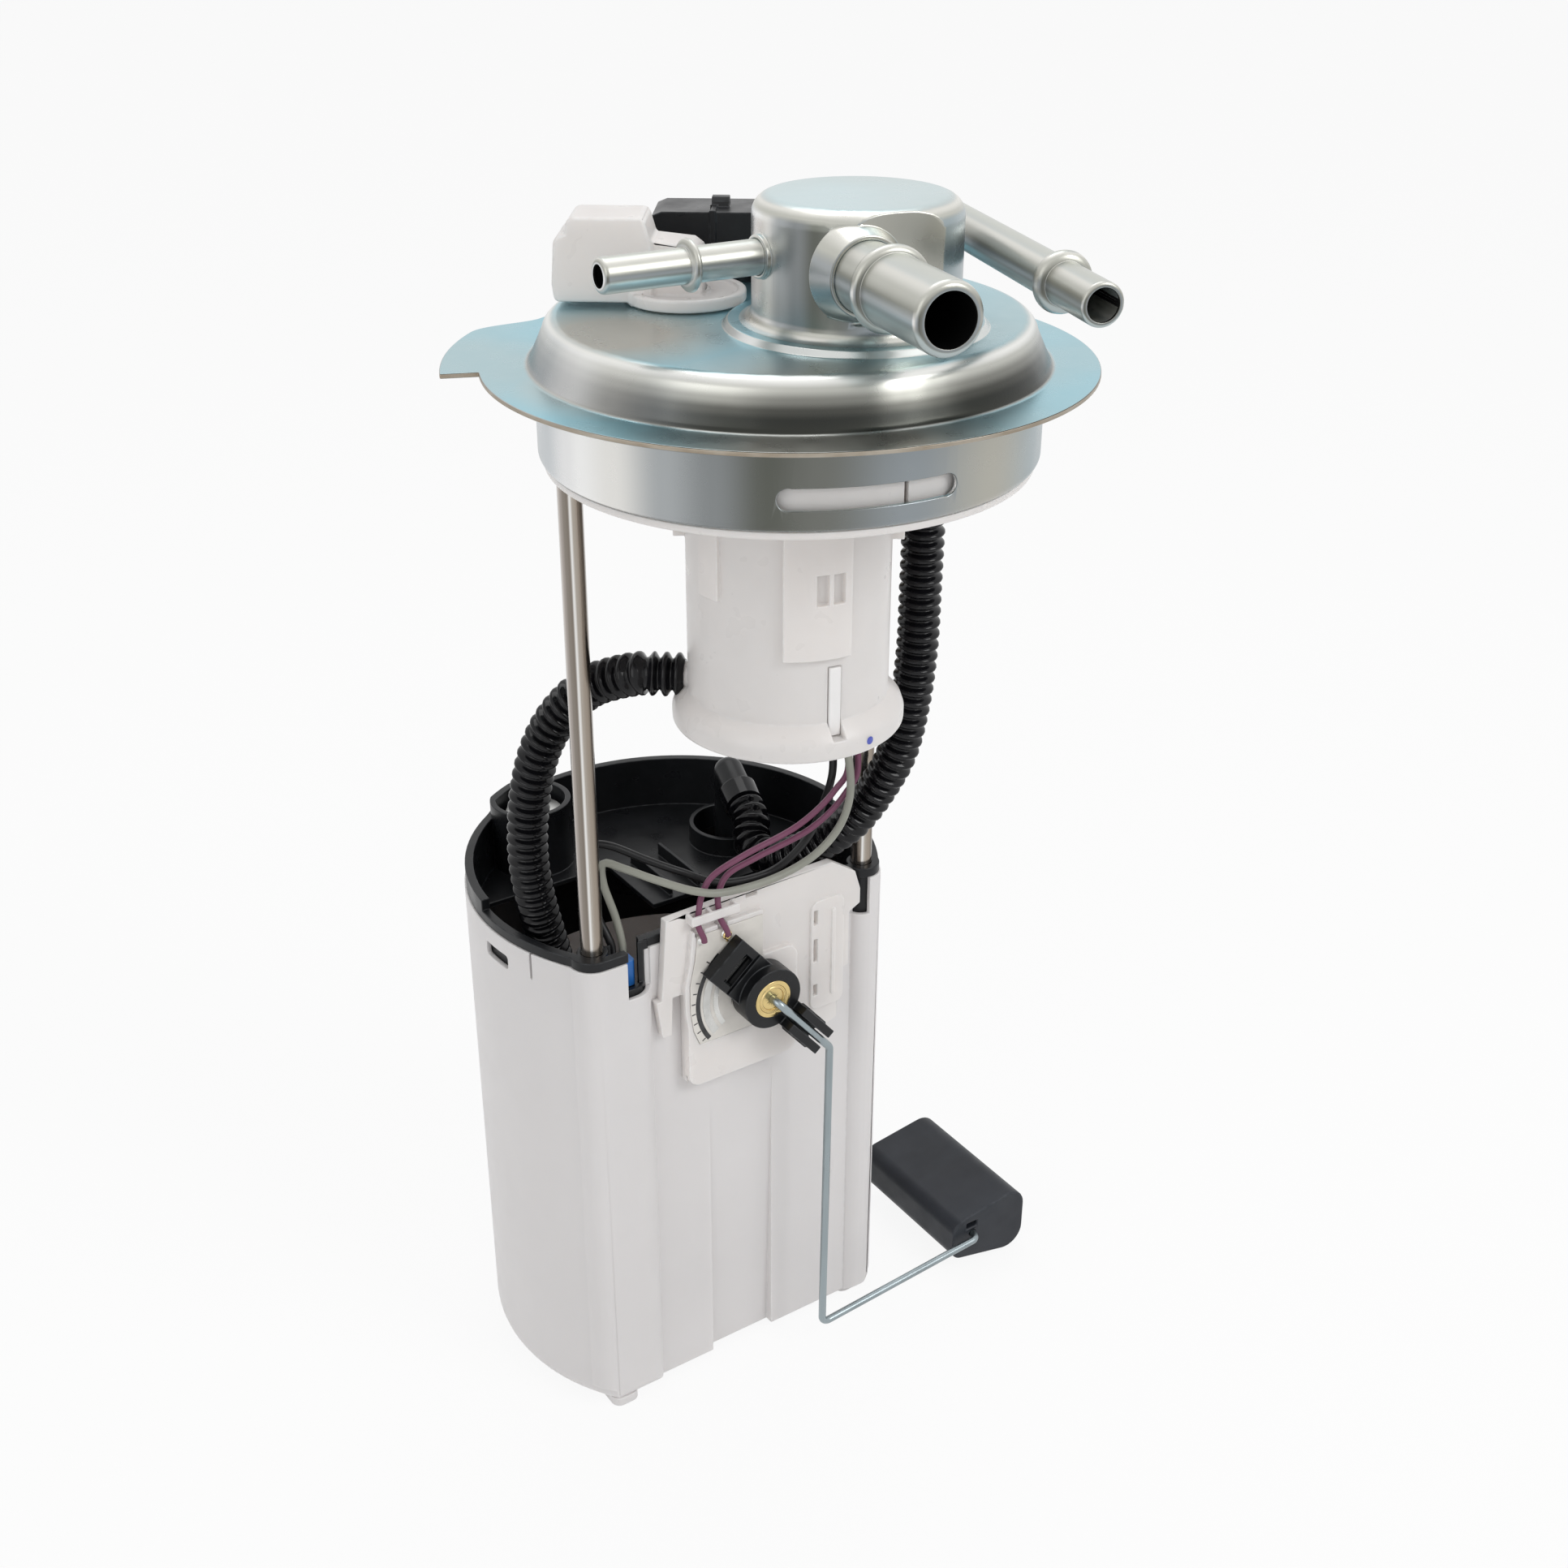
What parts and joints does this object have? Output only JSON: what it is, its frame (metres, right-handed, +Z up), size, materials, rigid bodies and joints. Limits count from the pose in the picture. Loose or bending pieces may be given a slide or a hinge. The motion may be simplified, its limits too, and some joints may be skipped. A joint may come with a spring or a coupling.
{
  "type": "fuel pump module",
  "caption": "Fuel pump module: a flange head with pipe stubs, vent valve and connectors, on guide rods over a sprung reservoir with the pump inside and a swinging float level sender.",
  "frame": {"origin": "centre of the flange's seating plane, which is the underside of the flange ring, on the flange's axis", "axes": "+Z up along the guide rods, from the reservoir to the pipe stubs; -Y out of the reservoir's flat face, which carries the level sender; +X to the side the float wire reaches to"},
  "size_m": [0.1847, 0.2156, 0.3734],
  "materials": {
    "zinc_steel": "satin zinc plate",
    "stainless": "ground bright",
    "milky_nylon": "satin, slightly see-through",
    "black_plastic": "satin moulded",
    "hose_black": "glossy corrugated",
    "rubber_black": "matt",
    "float_black": "matt closed-cell foam",
    "brass": "turned",
    "tin_plate": "bright tin plate",
    "wire_steel": "dull drawn wire",
    "spring_steel": "drawn wire",
    "purple_wire": "satin insulation",
    "grey_wire": "satin insulation",
    "black_wire": "satin insulation",
    "blue_plastic": "glossy",
    "ceramic": "glazed ceramic",
    "pump_steel": "drawn can",
    "ferrite": "sintered",
    "windings": "wound and varnished",
    "carbon": "pressed carbon",
    "die_cast": "as cast",
    "strainer_mesh": "woven mesh",
    "grey_plastic": "satin moulded",
    "float_white": "satin moulded"
  },
  "bodies": {
    "head": {"mounting_flange": "zinc_steel", "skirt_band": "zinc_steel", "turret_cup": "zinc_steel", "vapor_pipe": "zinc_steel", "vent_pipe": "zinc_steel", "feed_pipe": "zinc_steel", "sensor_grommet": "rubber_black", "pressure_sensor": "milky_nylon", "sensor_terminals": "tin_plate", "electrical_connector": "black_plastic", "connector_pins": "tin_plate", "retainer_disc": "milky_nylon", "valve_housing": "milky_nylon", "valve_base": "milky_nylon", "valve_spring": "spring_steel", "guide_rods": "stainless", "rod_stop_pins": "stainless"},
    "reservoir": {"reservoir_cup": "milky_nylon", "retainer_insert": "black_plastic", "return_springs": "spring_steel", "pump_case": "pump_steel", "pump_magnets": "ferrite", "pump_outlet_cap": "black_plastic", "pump_brushes": "carbon", "pump_inlet_cap": "die_cast", "pump_isolator": "rubber_black", "inlet_strainer": "strainer_mesh", "inlet_valve": "grey_plastic", "jet_pump": "milky_nylon", "pressure_regulator": "tin_plate", "outlet_elbow": "black_plastic", "feed_hose": "hose_black", "drain_hose": "hose_black", "purple_leads": "purple_wire", "grey_lead": "grey_wire", "black_lead": "black_wire", "lead_terminal": "blue_plastic", "sender_bracket": "milky_nylon", "resistor_card": "ceramic", "card_terminals": "tin_plate"},
    "float_arm": {"wiper_rotor": "black_plastic", "pivot_bushing": "brass", "wiper_contacts": "tin_plate", "float_wire": "wire_steel", "float_block": "float_black"},
    "pump_rotor": {"pump_armature": "windings", "pump_shaft": "stainless", "pump_impeller": "grey_plastic"},
    "valve_float": {"valve_float": "float_white"}
  },
  "joints": [
    {"name": "reservoir_lift", "type": "slide", "parent": "head", "child": "reservoir", "axis": [0, 0, 1], "range_m": [0, 0.045], "stiffness_N_per_m": 400, "springref_m": -0.03, "deforming": ["return_springs", "feed_hose", "drain_hose", "purple_leads", "grey_lead", "black_lead"]},
    {"name": "float_swing", "type": "hinge", "parent": "reservoir", "child": "float_arm", "pos_m": [0.0038, 0.009, -0.191], "axis": [0, -1, 0], "range_deg": [0, 80]},
    {"name": "pump_spin", "type": "hinge", "parent": "reservoir", "child": "pump_rotor", "pos_m": [0.027, 0.083, -0.26], "axis": [0, 0, 1], "continuous": true},
    {"name": "valve_float_lift", "type": "slide", "parent": "head", "child": "valve_float", "axis": [0, 0, 1], "range_m": [0, 0.0079]}
  ]
}
